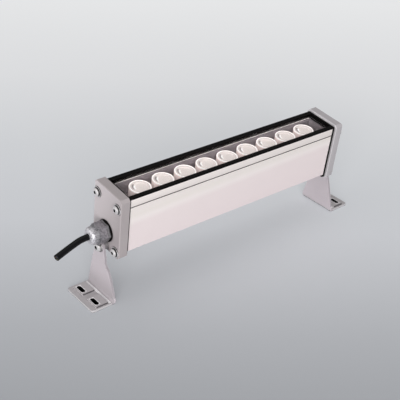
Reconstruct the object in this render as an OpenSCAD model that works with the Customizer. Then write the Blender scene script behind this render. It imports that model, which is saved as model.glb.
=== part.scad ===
// Outdoor wall washer light: an extruded housing with nine lenses behind glass,
// closed by two cast end caps and carried by two tilting brackets.
// The light lies along X, its cable leaves at -X, +Y is the back and +Z is up. Sizes are in mm.

/* [Housing profile] */
// length of the extruded housing
housing_len = 300; // [200:1:600]
// width of the rim on each side of the glass
rim_w = 5.9; // [5.5:0.1:8]
// height of the housing, from the fins' tips to the rim
housing_h = 74; // [70:0.5:90]
// wall of the two long sides
wall_t = 2.4; // [2:0.1:4]
// how far the lower corners are cut back from the faces
bevel_in = 6.5; // [5.5:0.5:7]
// how far the cut corners reach up the faces
bevel_up = 5; // [4:0.5:6]
// shelf that carries the light board, measured down from the rim
shelf_down = 25; // [24:0.5:30]
// thickness of that shelf
shelf_t = 2.5; // [2:0.1:4]
// thickness of the housing's floor above the fins
floor_t = 2.5; // [2:0.1:4]
// height of the cooling fins under the floor
fin_h = 5.5; // [3:0.5:6]
// width of the slots between the fins
fin_slot_w = 3.6; // [2:0.1:4]
// distance from one slot to the next
fin_pitch = 5.6; // [5:0.1:6]
// number of slots
fin_slots = 5; // [3:2:5]
// line groove on both faces, measured down from the rim
groove_down = 11.2; // [8:0.1:20]
// width of the line groove
groove_w = 1.2; // [0.5:0.1:2]
// depth of the line groove
groove_d = 0.7; // [0.3:0.1:0.8]

/* [Screw ports and end screws] */
// screw ports, measured in from the housing's two faces
port_in = 3.7; // [3.6:0.1:4]
// upper ports, measured down from the rim
port_down = 10.2; // [9.8:0.1:14]
// lower ports, measured up from the fins' tips
port_up = 6.8; // [6.8:0.1:9]
// metal left round a port
port_wall = 1.2; // [1:0.1:2]
// radius of the end screws' threads
end_screw_r = 2.3; // [2:0.1:2.5]
// length of an end screw under its head
end_screw_len = 28; // [22:1:40]
// radius of an end screw's button head
end_head_r = 4.5; // [4:0.1:5]
// height of that head
end_head_h = 2.4; // [2:0.1:3]
// outer radius of the split washer
split_r = 4.3; // [4:0.1:5]
// thickness of the split washer
split_t = 1.0; // [0.8:0.1:1.2]
// outer radius of the sealing washer
seal_washer_r = 6.2; // [5:0.1:6.2]
// thickness of the sealing washer
seal_washer_t = 0.9; // [0.6:0.1:1]

/* [Glass and its seal] */
// thickness of the glass pane
glass_t = 4; // [3:0.5:5]
// ledge under the glass, measured down from the rim
ledge_down = 6.2; // [6:0.1:8]
// how far the glass lies on each ledge
ledge_in = 1; // [0.6:0.1:1.5]
// thickness of the seal's flange on the rim
flange_t = 1.6; // [1:0.1:2]
// thickness of the seal's lip beside the glass
lip_t = 1.5; // [1:0.1:2]
// length of the seal bar at each end of the glass
bar_len = 3.2; // [2:0.1:5]

/* [Lenses and light board] */
// outer radius of a lens holder
holder_r = 12.5; // [11:0.1:18]
// space between one holder and the next
holder_space = 5.5; // [2:0.1:8]
// space between the holders and the tray's walls
holder_side = 1.9; // [0.5:0.1:3]
// least length left free at each end of the row of lenses
lens_end = 12; // [8:0.5:20]
// wall of a lens holder
holder_wall = 0.9; // [0.6:0.1:1.5]
// lens tops, measured down from the ledge
lens_down = 1.4; // [0.3:0.1:3]
// thickness of the light board
board_t = 1.6; // [1:0.1:2]
// how far the light board stays inside the tray's sides
board_side = 1.8; // [0.5:0.1:3]
// thickness of the tray's floor
tray_t = 1.2; // [0.8:0.1:2]
// wall of the tray
tray_wall = 0.9; // [0.6:0.1:1]

/* [End caps] */
// how far a cap stands out past the housing's two faces
cap_side = 3; // [2:0.1:5]
// how far a cap stands above the rim
cap_rise = 3; // [1:0.1:5]
// thickness of a cap
cap_t = 11; // [9:0.5:16]
// wall of a cap behind its pocket
cap_face_t = 3.5; // [3:0.1:5]
// how far a cap reaches below the housing
cap_drop = 1; // [0.5:0.1:1.5]
// cut on a cap's four corners
cap_corner = 3; // [1:0.5:4]
// fine bevel round a cap's outer face
cap_bevel = 0.8; // [0.3:0.1:1.5]
// thickness of the gasket between cap and housing
gasket_t = 2.5; // [1:0.1:4]
// cut on the gasket's lower corners
gasket_corner = 1.5; // [0.5:0.1:3]

/* [Tilting brackets] */
// tilt of the light towards the front
head_tilt = 6; // [-30:1:30]
// height of the pivots above the ground
pivot_z = 63; // [60:1:90]
// pivots, measured up from the caps' lower edge
pivot_up = 6; // [6:0.1:7]
// thickness of a bracket's plate and foot
plate_t = 3; // [2.5:0.1:4]
// clearance between the end screws' heads and the plate that passes over them
head_clear = 0.3; // [0.3:0.1:2]
// radius of the plate's round end at the pivot
plate_head_r = 6.5; // [6.3:0.1:6.8]
// half the width of the plate's neck
neck_half = 9; // [8:0.1:9.2]
// plate beyond the pads, at the foot's two sides
foot_edge = 1.9; // [1:0.1:5]
// plate beyond the pads, at the foot's end
foot_end = 6.2; // [3:0.1:10]
// radius on the outside of the bend
bend_r = 4; // [3.5:0.1:6]
// radius on the inside of the bend
bend_in_r = 2; // [1:0.1:3]
// height of the two raised pads on a foot
pad_h = 1.4; // [0.5:0.1:2]
// pad left at both ends of a slot
pad_side = 3.45; // [2:0.05:5]
// pad on the light's side of a slot's middle line
pad_in = 11.7; // [6:0.1:12]
// pad on the far side of that line
pad_out = 4.6; // [4:0.1:8]
// width of a fixing slot
slot_w = 5.2; // [4.5:0.1:6]
// length of a fixing slot, end to end
slot_len = 13.5; // [10:0.1:16]
// distance between the two slots of a foot
slot_gap = 27.8; // [24:0.1:36]
// slots, measured from a cap's face
slot_out = 24.7; // [22:0.1:30]
// radius of the pivot screws
pivot_r = 3.0; // [2.5:0.1:3]
// radius of a pivot screw's head
pivot_head_r = 5.2; // [4.5:0.1:5.5]
// height of a pivot screw's head
pivot_head_h = 2.9; // [2.5:0.1:3.5]
// outer radius of the washer under it
pivot_washer_r = 6.2; // [5.5:0.1:7]
// thickness of that washer
pivot_washer_t = 1.1; // [0.8:0.1:1.5]
// thickness of the pivot's split washer
pivot_split_t = 1.2; // [1:0.1:1.6]
// radius of the collar between cap and plate
collar_r = 5.7; // [5:0.1:5.8]

/* [Cable gland] */
// clearance between the pivot's collar and the gland's ring
collar_clear = 0.4; // [0.3:0.1:6]
// radius of the gland's thread
gland_thread_r = 8; // [7.5:0.1:8.2]
// outer radius of the gland's sealing ring
gland_ring_r = 12.9; // [12:0.1:12.9]
// thickness of the sealing ring
gland_ring_t = 1.5; // [1:0.1:1.6]
// gland base, across its flats
gland_base_af = 22; // [21:0.1:22.2]
// dome nut, across its flats
gland_nut_af = 22; // [21.8:0.1:22]
// reach of the dome nut, from the cap's face
gland_reach = 23; // [21:0.5:28]
// length of the nut's six-sided part
gland_nut_hex = 10; // [6:0.1:10]
// radius of the dome where it meets the six-sided part
dome_root_r = 10.8; // [10.4:0.1:10.8]
// radius of the dome near its tip
dome_tip_r = 10.2; // [9.5:0.1:10.3]
// radius of the rounding at the dome's tip
dome_round = 4.4; // [2:0.1:4.6]
// radius of the cable
cord_r = 3.6; // [3:0.1:3.8]

/* [Driver] */
// room for the cable at each end of the driver board
driver_end = 25; // [22:1:80]
// height of the insulating trough
trough_h = 12; // [9:0.5:20]
// wall of the trough
trough_t = 1; // [0.8:0.1:2]
// height of the ribs that carry the driver board
trough_rib_h = 3.5; // [2:0.1:6]

/* [Hidden] */
$fn = 48;

// one overrun for every cut
over = 1;
// clearances: loose pieces, threads, the turning plate, its bore, and parts that stand apart
fit_gap = 0.1;
thread_gap = 0.05;
swing_gap = 0.1;
bore_gap = 0.06;
seat_gap = 0.3;

// widths, from the lens holders outwards to the end caps
tray_half = holder_r + holder_side + tray_wall;
ledge_half = tray_half + seat_gap;
glass_w = 2 * (ledge_half + ledge_in);
housing_w = glass_w + 2 * rim_w;
cap_w = housing_w + 2 * cap_side;
port_v = housing_w / 2 - port_in;

// the row of lenses: as many as the housing holds
lens_pitch = 2 * holder_r + holder_space;
lens_count = floor((housing_len - 2 * lens_end) / lens_pitch);

// heights of the head's levels above the pivots
cap_h = cap_drop + housing_h + cap_rise;
cap_lo = -pivot_up;
cap_hi = cap_lo + cap_h;
house_lo = cap_lo + cap_drop;
rim = house_lo + housing_h;
metal_top = rim - flange_t;
ledge = rim - ledge_down;
shelf_hi = rim - shelf_down;
shelf_lo = shelf_hi - shelf_t;
floor_hi = house_lo + fin_h + floor_t;
port_hi_w = rim - port_down;
port_lo_w = house_lo + port_up;
port_r = end_screw_r + thread_gap;
boss_r = port_r + port_wall;
chamber_half = housing_w / 2 - wall_t;
recess_half = glass_w / 2 + lip_t + fit_gap;

// places along the light, measured outwards from the end of the housing
face = gasket_t + cap_t;
end_head_seat = face + seal_washer_t + split_t;
plate_in = end_head_seat + end_head_h + head_clear;
plate_out = plate_in + plate_t;
plate_gap = plate_in - face;
tip = face + gland_reach;

// the foot, from its slots and pads outwards
pad_w = slot_len + 2 * pad_side;
foot_w = slot_gap + pad_w + 2 * foot_edge;
foot_reach = slot_out + pad_out + foot_end;

// the pivots lie behind the middle, because the light leans to the front
front_reach = cap_w / 2 * cos(head_tilt) + (cap_hi - cap_corner) * sin(head_tilt);
back_reach = cap_w / 2 * cos(head_tilt) - (cap_lo + cap_corner) * sin(head_tilt);
pivot_y = (front_reach - max(foot_w / 2, back_reach)) / 2;

// the gland's axis passes just over the pivot's collar
gland_up = collar_r + collar_clear + gland_ring_r;

// route of the cable's free stub from the gland's tip: steps out, to the back and up
cord_steps = [[0, 0, 0], [3, 0, 0], [6, -0.1, -0.1], [9, -0.3, -0.3], [12, -0.7, -0.6],
              [15, -1.2, -1], [18, -1.9, -1.4], [21, -2.6, -1.8], [24, -3.4, -2.1], [27, -4.2, -2.4],
              [30, -5.1, -2.7], [33, -6, -3], [36, -6.9, -3.3], [39, -7.8, -3.6], [42, -8.7, -3.9],
              [44, -9.3, -4.1]];
cord_exit = [-housing_len / 2 - tip, pivot_y - gland_up * sin(head_tilt),
             pivot_z + gland_up * cos(head_tilt)];
cord_route = [for (step = cord_steps) cord_exit + [-step[0], step[1], step[2]]];
cord_sides = 12;

// moves a piece of the light from its own upright frame to the tilted place
module in_head() {
    translate([0, pivot_y, pivot_z]) rotate([head_tilt, 0, 0]) children();
}

// a frame at one end of the housing, with +X pointing outwards: side is -1 left, 1 right
module at_end(side) {
    mirror([side < 0 ? 1 : 0, 0, 0]) translate([housing_len / 2, 0, 0]) children();
}

// an outline drawn in depth and height, drawn out along X
module along_x(from, len) {
    translate([from, 0, 0]) rotate([90, 0, 90]) linear_extrude(len) children();
}

// a round rod along X, at a depth and height
module rod_x(from, len, r, v = 0, w = 0) {
    translate([from, v, w]) rotate([0, 90, 0]) cylinder(r = r, h = len);
}

// a rectangle between two heights, as wide on both sides of the middle
module band(half, low, high) {
    translate([-half, low]) square([2 * half, high - low]);
}

// the four screw places of an end
module port_places() {
    for (v = [-port_v, port_v])
        for (w = [port_lo_w, port_hi_w])
            translate([0, v, w]) children();
}

// the same places in an outline
module port_dots(r) {
    for (v = [-port_v, port_v])
        for (w = [port_lo_w, port_hi_w])
            translate([v, w]) circle(r = r);
}

// a rectangle as wide as the housing, with its lower corners cut in and up
module housing_outline(top, cut_in, cut_up) {
    half = housing_w / 2;
    polygon([[-half, top], [-half, house_lo + cut_up], [-half + cut_in, house_lo],
             [half - cut_in, house_lo], [half, house_lo + cut_up], [half, top]]);
}

// housing: one aluminium extrusion with two chambers, screw ports, ledges, grooves and fins
module housing_section() {
    difference() {
        housing_outline(metal_top, bevel_in, bevel_up);
        // the upper chamber, its mouth between the ledges, and the recess for glass and seal
        band(chamber_half, shelf_hi, port_hi_w - boss_r);
        band(ledge_half, shelf_hi, ledge + over);
        band(recess_half, ledge, metal_top + over);
        // the lower chamber, with a full boss left round each lower port
        difference() {
            band(chamber_half, floor_hi, shelf_lo);
            port_dots(boss_r);
        }
        // slots between the fins
        for (i = [0 : fin_slots - 1])
            translate([(i - (fin_slots - 1) / 2) * fin_pitch - fin_slot_w / 2, house_lo - over])
                square([fin_slot_w, fin_h + over]);
        // line grooves on the two faces
        for (s = [-1, 1])
            translate([s * housing_w / 2, rim - groove_down])
                square([2 * groove_d, groove_w], center = true);
        port_dots(port_r);
    }
}

// the two strands of the lead pass through the shelf and the board, between two lenses
lead_x = -(lens_count / 2 - 2) * lens_pitch;
lead_v = 8.1;
lead_hole_r = 2.6;

module lead_hole(low, high) {
    translate([lead_x, lead_v, low - over]) cylinder(r = lead_hole_r, h = high - low + 2 * over);
}

module housing_profile() {
    color([0.90, 0.86, 0.86]) in_head() difference() {
        along_x(-housing_len / 2, housing_len) housing_section();
        lead_hole(shelf_lo, shelf_hi);
        board_screw_places() translate([0, 0, shelf_lo - over])
            cylinder(r = board_screw_r + thread_gap, h = shelf_t + 2 * over);
    }
}

// glass: a clear pane in the recess, lying on the two ledges
glass_len = housing_len - 2 * (bar_len + fit_gap);
glass_hi = ledge + glass_t;

module glass_pane() {
    color([0.85, 0.92, 0.92, 0.35]) in_head()
        along_x(-glass_len / 2, glass_len) band(glass_w / 2, ledge, glass_hi);
}

// seal: black rubber, a flange on the rim, a lip on both sides, and a bar at each end
module seal_side_section() {
    translate([glass_w / 2, metal_top]) square([(housing_w - glass_w) / 2, flange_t]);
    translate([glass_w / 2, ledge]) square([lip_t, metal_top - ledge]);
}

module glass_seal() {
    color([0.05, 0.05, 0.05]) in_head() {
        along_x(-housing_len / 2, housing_len) {
            seal_side_section();
            mirror([1, 0]) seal_side_section();
        }
        for (side = [-1, 1])
            at_end(side) along_x(-bar_len, bar_len) band(glass_w / 2, ledge, glass_hi);
    }
}

// light board on the shelf, with one emitter under each lens
board_end = 6;
board_len = lens_count * lens_pitch + 2 * board_end;
board_w = 2 * (tray_half - board_side);
board_hi = shelf_hi + board_t;
emitter_side = 3.5;
emitter_t = 1;
emitter_dome_r = 1.5;
board_screw_r = 1.5;
board_screw_head_r = 2.7;
board_screw_head_h = 1.6;
board_screw_v = 10.4;

// the lenses' places along the light
module lens_places() {
    for (i = [0 : lens_count - 1])
        translate([(i - (lens_count - 1) / 2) * lens_pitch, 0, 0]) children();
}

// four screws that hold the board and the tray, each between two lenses
module board_screw_places() {
    for (i = [-1, 1])
        for (k = [-1, 1])
            translate([i * (lens_count / 2 - 1) * lens_pitch, k * board_screw_v, 0]) children();
}

module light_board() {
    color([0.80, 0.80, 0.78]) in_head() difference() {
        translate([-board_len / 2, -board_w / 2, shelf_hi]) cube([board_len, board_w, board_t]);
        lead_hole(shelf_hi, board_hi);
        board_screw_places() translate([0, 0, shelf_hi - over])
            cylinder(r = board_screw_r + fit_gap, h = board_t + 2 * over);
    }
}

module emitters() {
    color([0.95, 0.85, 0.35]) in_head() lens_places() translate([0, 0, board_hi]) {
        translate([-emitter_side / 2, -emitter_side / 2, 0]) cube([emitter_side, emitter_side, emitter_t]);
        translate([0, 0, emitter_t]) intersection() {
            sphere(r = emitter_dome_r);
            cylinder(r = emitter_dome_r, h = emitter_dome_r);
        }
    }
}

// tray: a dark channel over the board, with a hole for each emitter and a wall at each end
tray_hi = ledge - fit_gap;
tray_floor_hi = board_hi + tray_t;
tray_hole_r = 4.6;
lead_window_v = 9.2;

module lens_tray() {
    color([0.30, 0.29, 0.30]) in_head() difference() {
        translate([-glass_len / 2, -tray_half, board_hi])
            cube([glass_len, 2 * tray_half, tray_hi - board_hi]);
        translate([-glass_len / 2 + tray_wall, -tray_half + tray_wall, tray_floor_hi])
            cube([glass_len - 2 * tray_wall, 2 * (tray_half - tray_wall), tray_hi - board_hi]);
        lens_places() translate([0, 0, board_hi - over]) cylinder(r = tray_hole_r, h = tray_t + 2 * over);
        translate([lead_x, lead_window_v, board_hi - over])
            cylinder(r = tray_hole_r, h = tray_t + 2 * over);
        board_screw_places() translate([0, 0, board_hi - over])
            cylinder(r = board_screw_r + fit_gap, h = tray_t + 2 * over);
    }
}

module board_screws() {
    color([0.70, 0.70, 0.70]) in_head() board_screw_places() {
        translate([0, 0, shelf_lo]) cylinder(r = board_screw_r, h = tray_floor_hi - shelf_lo);
        translate([0, 0, tray_floor_hi]) cylinder(r = board_screw_head_r, h = board_screw_head_h);
    }
}

// lens holders: white cups that stand in the tray, stepped inside to carry the lenses
lens_top = ledge - lens_down;
lens_edge_t = 1.4;
lens_sunk = 0.2;
holder_step = lens_top - lens_sunk - lens_edge_t;
holder_base_t = 1;

module lens_holders() {
    color([0.93, 0.92, 0.91]) in_head() lens_places() difference() {
        translate([0, 0, tray_floor_hi]) cylinder(r = holder_r, h = lens_top - tray_floor_hi);
        translate([0, 0, tray_floor_hi - over]) cylinder(r = tray_hole_r, h = lens_top);
        translate([0, 0, tray_floor_hi + holder_base_t])
            cylinder(r = holder_r - 2 * holder_wall, h = lens_top);
        translate([0, 0, holder_step]) cylinder(r = holder_r - holder_wall, h = lens_top);
    }
}

// lenses: clear collimators, a flat rim over a cone with a hollow for the emitter
lens_r = holder_r - holder_wall - fit_gap;
lens_body_r = holder_r - 2 * holder_wall - 2 * fit_gap;
lens_foot_r = 4.2;
lens_foot_up = 3.2;
lens_hollow_r = 2.6;
lens_hollow_h = 5;
lens_dish_r = 7.5;
lens_dish_h = 0.6;

module lenses() {
    foot = board_hi + lens_foot_up;
    top = lens_top - lens_sunk;
    color([0.95, 0.94, 0.94, 0.6]) in_head() lens_places() rotate_extrude()
        polygon([[0, foot + lens_hollow_h], [lens_hollow_r, foot + lens_hollow_h], [lens_hollow_r, foot],
                 [lens_foot_r, foot], [lens_body_r, holder_step], [lens_r, holder_step], [lens_r, top],
                 [lens_dish_r + lens_dish_h, top], [lens_dish_r, top - lens_dish_h],
                 [0, top - lens_dish_h]]);
}

// driver: a board in an insulating trough on the floor of the lower chamber
driver_len = housing_len - 2 * driver_end;
trough_half = port_v - boss_r - fit_gap;
driver_w = 2 * (trough_half - trough_t - fit_gap);
trough_rib_v = 9;
trough_rib_t = 1.5;
trough_len = driver_len + 2 * trough_t + 2 * fit_gap;
driver_lo = floor_hi + trough_t + trough_rib_h;
driver_t = 1.6;
driver_hi = driver_lo + driver_t;

module driver_trough() {
    color([0.15, 0.15, 0.16]) in_head() {
        difference() {
            translate([-trough_len / 2, -trough_half, floor_hi])
                cube([trough_len, 2 * trough_half, trough_h]);
            translate([-trough_len / 2 + trough_t, -trough_half + trough_t, floor_hi + trough_t])
                cube([trough_len - 2 * trough_t, 2 * (trough_half - trough_t), trough_h]);
        }
        for (s = [-1, 1])
            translate([-driver_len / 2, s * trough_rib_v - trough_rib_t / 2, floor_hi + trough_t])
                cube([driver_len, trough_rib_t, trough_rib_h]);
    }
}

module driver_board() {
    color([0.10, 0.35, 0.18]) in_head()
        translate([-driver_len / 2, -driver_w / 2, driver_lo]) cube([driver_len, driver_w, driver_t]);
}

// places of the driver's parts along its board, as shares of its length
coil_share = 0.02;
choke_share = -0.22;
capacitor_shares = [-0.34, -0.12, 0.22, 0.32];
chip_shares = [-0.42, -0.17, 0.12, 0.40];
coil_size = [24, 20, 17];
coil_window = 12;
coil_window_share = 0.33;
choke_r = 8;
choke_hole_r = 3.2;
choke_h = 9;
choke_v = -4;
capacitor_r = 5;
capacitor_h = 18;
capacitor_v = -4;
chip_size = [8, 6, 3];
chip_v = 8;

module driver_coils() {
    color([0.85, 0.65, 0.15]) in_head() {
        translate([coil_share * driver_len - coil_size[0] / 2, -coil_size[1] / 2, driver_hi]) difference() {
            cube(coil_size);
            for (s = [0, 1])
                translate([(coil_size[0] - coil_window) / 2, s * coil_size[1], coil_size[2] / 2])
                    cube([coil_window, coil_size[1] * coil_window_share, coil_size[2] / 2], center = true);
        }
        translate([choke_share * driver_len, choke_v, driver_hi]) difference() {
            cylinder(r = choke_r, h = choke_h);
            translate([0, 0, -over]) cylinder(r = choke_hole_r, h = choke_h + 2 * over);
        }
    }
}

module driver_capacitors() {
    color([0.12, 0.14, 0.30]) in_head() for (share = capacitor_shares)
        translate([share * driver_len, capacitor_v, driver_hi]) cylinder(r = capacitor_r, h = capacitor_h);
}

module driver_chips() {
    color([0.08, 0.08, 0.08]) in_head() for (share = chip_shares)
        translate([share * driver_len, chip_v - chip_size[1] / 2, driver_hi]) cube(chip_size);
}

// terminal block at the cable's end of the driver board
block_len = 12;
block_w = 22;
block_h = 16;

module terminal_block() {
    color([0.20, 0.45, 0.30]) in_head()
        translate([-driver_len / 2, -block_w / 2, driver_hi]) cube([block_len, block_w, block_h]);
}

// lead of the light board: two strands up from the driver, bent over onto the board
strand_r = 0.8;
strand_bend_r = 1.8;
strand_run = 1.5;
strand_off = 1.1;
strand_back = 0.5;

module board_lead() {
    bend_lo = board_hi + strand_r - strand_bend_r;
    color([0.75, 0.10, 0.10]) in_head() for (s = [-1, 1])
        translate([lead_x + s * strand_off, lead_v - strand_back, 0]) {
            translate([0, 0, driver_hi]) cylinder(r = strand_r, h = bend_lo - driver_hi);
            translate([0, strand_bend_r, bend_lo]) rotate([0, 0, 90]) rotate([90, 0, 0])
                rotate_extrude(angle = 90, start = 90) translate([strand_bend_r, 0]) circle(r = strand_r);
            translate([0, strand_bend_r, bend_lo + strand_bend_r]) rotate([-90, 0, 0])
                cylinder(r = strand_r, h = strand_run);
        }
}

// gasket: black rubber between the housing and a cap, open over both chambers
gasket_bar = 2.4;
gasket_rim = 1;
window_half = port_v - boss_r - gasket_rim;
window_lo = port_lo_w + boss_r + gasket_rim;

module end_windows(top) {
    band(window_half, shelf_hi, top);
    band(window_half, window_lo, shelf_lo);
}

module end_gasket(side) {
    in_head() at_end(side) along_x(0, gasket_t) difference() {
        housing_outline(rim, gasket_corner, gasket_corner);
        end_windows(rim - gasket_bar);
        port_dots(end_screw_r + fit_gap);
    }
}

module end_gasket_left() {
    color([0.04, 0.04, 0.04]) end_gasket(-1);
}

module end_gasket_right() {
    color([0.04, 0.04, 0.04]) end_gasket(1);
}

// cast end cap: a block with cut corners and a fine bevel, hollowed from the inside
module cap_outline() {
    half = cap_w / 2;
    inner = half - cap_corner;
    polygon([[-half, cap_lo + cap_corner], [-inner, cap_lo], [inner, cap_lo], [half, cap_lo + cap_corner],
             [half, cap_hi - cap_corner], [inner, cap_hi], [-inner, cap_hi], [-half, cap_hi - cap_corner]]);
}

// a bar along X from the gasket to the cap's face, bevelled at its outer corners
module bevelled(low, high) {
    polygon([[gasket_t, low], [face - cap_bevel, low], [face, low + cap_bevel], [face, high - cap_bevel],
             [face - cap_bevel, high], [gasket_t, high]]);
}

cap_pocket_side = 5;
pivot_hole_floor = 2;
pivot_hole_depth = cap_t - pivot_hole_floor;
screw_tip_gap = 1;

module end_cap(side) {
    in_head() at_end(side) difference() {
        intersection() {
            along_x(gasket_t, cap_t) cap_outline();
            translate([0, cap_w / 2, 0]) rotate([90, 0, 0]) linear_extrude(cap_w) bevelled(cap_lo, cap_hi);
            translate([0, 0, cap_lo]) linear_extrude(cap_h) bevelled(-cap_w / 2, cap_w / 2);
        }
        along_x(gasket_t - over, cap_t - cap_face_t + over) {
            band(window_half, window_lo, ledge);
            band(cap_w / 2 - cap_pocket_side, window_lo, port_hi_w - boss_r - gasket_rim);
        }
        port_places() rod_x(gasket_t - over, cap_t + 2 * over, end_screw_r + fit_gap);
        rod_x(face - pivot_hole_depth, pivot_hole_depth + over, pivot_r + thread_gap);
        if (side < 0)
            rod_x(gasket_t, cap_t + over, gland_thread_r + thread_gap, 0, gland_up);
    }
}

module end_cap_left() {
    color([0.72, 0.69, 0.70]) end_cap(-1);
}

module end_cap_right() {
    color([0.72, 0.69, 0.70]) end_cap(1);
}

// a round-topped screw along X with a six-sided socket; its head stands on the plane given
socket_share = 0.4;
socket_depth_share = 0.75;
head_edge_share = 0.5;

module button_screw(seat, len, r, head_r, head_h) {
    dome_h = head_h * (1 - head_edge_share);
    dome_r = (head_r * head_r + dome_h * dome_h) / (2 * dome_h);
    rod_x(seat - len, len, r);
    translate([seat, 0, 0]) rotate([0, 90, 0]) difference() {
        intersection() {
            cylinder(r = head_r, h = head_h);
            translate([0, 0, head_h - dome_r]) sphere(r = dome_r);
        }
        translate([0, 0, head_h * (1 - socket_depth_share)])
            cylinder(r = head_r * socket_share / cos(30), h = head_h, $fn = 6);
    }
}

// a ring along X, and one with a slit through it
module ring_x(from, t, r_out, r_in) {
    difference() {
        rod_x(from, t, r_out);
        rod_x(from - over, t + 2 * over, r_in);
    }
}

slit = 0.8;

module split_ring_x(from, t, r_out, r_in) {
    difference() {
        ring_x(from, t, r_out, r_in);
        translate([from - over, 0, -slit / 2]) cube([t + 2 * over, r_out + over, slit]);
    }
}

module end_screws(side) {
    color([0.80, 0.80, 0.80]) in_head() at_end(side) port_places()
        button_screw(end_head_seat, end_screw_len, end_screw_r, end_head_r, end_head_h);
}

module end_split_washers(side) {
    color([0.62, 0.62, 0.63]) in_head() at_end(side) port_places()
        split_ring_x(face + seal_washer_t, split_t, split_r, end_screw_r + fit_gap);
}

module end_seal_washers(side) {
    color([0.55, 0.55, 0.56]) in_head() at_end(side) port_places()
        ring_x(face, seal_washer_t, seal_washer_r, end_screw_r + fit_gap);
}

module end_screws_left() {
    end_screws(-1);
}

module end_screws_right() {
    end_screws(1);
}

module end_split_washers_left() {
    end_split_washers(-1);
}

module end_split_washers_right() {
    end_split_washers(1);
}

module end_seal_washers_left() {
    end_seal_washers(-1);
}

module end_seal_washers_right() {
    end_seal_washers(1);
}

// cable gland on the left cap: ring, base with thread, grommet, dome nut, and a nut inside
gland_base_t = plate_gap - gland_ring_t - seat_gap;
base_in = face + gland_ring_t;
base_out = base_in + gland_base_t;
nut_in = base_out + seat_gap;
locknut_t = 3;
locknut_wall = 1.5;
locknut_af = 2 * (gland_thread_r + locknut_wall);
thread_past = 1;
thread_in = face - cap_face_t - locknut_t - thread_past;
spigot_r = 6.4;
spigot_bore_r = 5.2;
spigot_back = 4;
spigot_out = tip - spigot_back;
dome_wall = 3;

// the frame of the gland's axis, in the left end's frame
module on_gland() {
    in_head() at_end(-1) translate([0, 0, gland_up]) children();
}

// a six-sided bar along X with a flat side up
module hex_x(from, t, af) {
    translate([from, 0, 0]) rotate([0, 90, 0]) rotate([0, 0, 30])
        cylinder(r = af / 2 / cos(30), h = t, $fn = 6);
}

module gland_ring() {
    color([0.04, 0.04, 0.04]) on_gland()
        ring_x(face, gland_ring_t, gland_ring_r, gland_thread_r + fit_gap);
}

module gland_base() {
    color([0.55, 0.54, 0.56]) on_gland() difference() {
        union() {
            hex_x(base_in, gland_base_t, gland_base_af);
            rod_x(thread_in, base_out - thread_in - fit_gap, gland_thread_r);
            rod_x(base_in, spigot_out - base_in, spigot_r);
        }
        rod_x(thread_in - over, tip - thread_in, cord_r + fit_gap);
        rod_x(nut_in, tip - nut_in, spigot_bore_r);
    }
}

module gland_grommet() {
    color([0.10, 0.10, 0.10]) on_gland()
        ring_x(nut_in, tip - dome_wall - nut_in, spigot_bore_r - fit_gap, cord_r + fit_gap);
}

module gland_locknut() {
    color([0.60, 0.60, 0.62]) on_gland() difference() {
        hex_x(face - cap_face_t - locknut_t, locknut_t, locknut_af);
        rod_x(thread_in - over, cap_t, gland_thread_r + thread_gap);
    }
}

// dome nut: six sides, then a tapering dome with a rounded tip and two fine grooves
dome_len = tip - nut_in - gland_nut_hex;
dome_steps = 10;
dome_groove_shares = [0.12, 0.28];
dome_groove_t = 0.5;

module dome_section() {
    arc = [for (i = [0 : dome_steps])
        let (a = 90 * i / dome_steps)
        [dome_tip_r - dome_round + dome_round * cos(a), dome_len - dome_round + dome_round * sin(a)]];
    polygon(concat([[0, -over], [dome_root_r, -over], [dome_root_r, 0]], arc, [[0, dome_len]]));
}

module gland_dome_nut() {
    color([0.56, 0.55, 0.57]) on_gland() difference() {
        union() {
            hex_x(nut_in, gland_nut_hex, gland_nut_af);
            translate([nut_in + gland_nut_hex, 0, 0]) rotate([0, 90, 0]) rotate_extrude() dome_section();
        }
        rod_x(nut_in - over, spigot_out + fit_gap + over - nut_in, spigot_r + fit_gap);
        rod_x(nut_in, tip + over - nut_in, cord_r + fit_gap);
        rod_x(nut_in, tip - dome_wall - nut_in, spigot_bore_r);
        for (share = dome_groove_shares)
            translate([nut_in + gland_nut_hex + share * dome_len, 0, 0])
                ring_x(0, dome_groove_t, dome_root_r + over,
                       dome_root_r + (dome_tip_r - dome_root_r) * share - dome_groove_t / 2);
    }
}

// cable inside the light: the sheath ends in the lower chamber, three cores reach the block
sheath_end = -8;
core_r = 1.1;
core_ring_r = 1.7;

module inner_cord() {
    color([0.05, 0.05, 0.05]) on_gland() rod_x(sheath_end, tip - sheath_end, cord_r);
}

module inner_cores() {
    block_at = (driver_len - housing_len) / 2;
    color([0.45, 0.25, 0.12]) on_gland() for (i = [0 : 2])
        rotate([120 * i, 0, 0]) rod_x(block_at, sheath_end - block_at, core_r, 0, core_ring_r);
}

// the free stub of the cable: one tube along the route, each ring square to its run
function run_at(p, i) = i == 0 ? [-1, 0, 0]
    : p[min(i + 1, len(p) - 1)] - p[i - 1];
function unit(v) = v / norm(v);
function ring_at(p, i, r, sides) =
    let (t = unit(run_at(p, i)), u = unit(cross(t, [0, 0, 1])), w = cross(u, t))
    [for (k = [0 : sides - 1]) p[i] + r * (cos(360 * k / sides) * u + sin(360 * k / sides) * w)];
function tube_points(p, r, sides) = [for (i = [0 : len(p) - 1]) each ring_at(p, i, r, sides)];
function tube_faces(rings, sides) = concat(
    [[for (k = [0 : sides - 1]) k]],
    [for (i = [0 : rings - 2]) for (k = [0 : sides - 1])
        [i * sides + k, (i + 1) * sides + k, (i + 1) * sides + (k + 1) % sides]],
    [for (i = [0 : rings - 2]) for (k = [0 : sides - 1])
        [i * sides + k, (i + 1) * sides + (k + 1) % sides, i * sides + (k + 1) % sides]],
    [[for (k = [sides - 1 : -1 : 0]) (rings - 1) * sides + k]]);

module supply_cord() {
    color([0.05, 0.05, 0.05])
        polyhedron(tube_points(cord_route, cord_r, cord_sides), tube_faces(len(cord_route), cord_sides));
}

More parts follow.
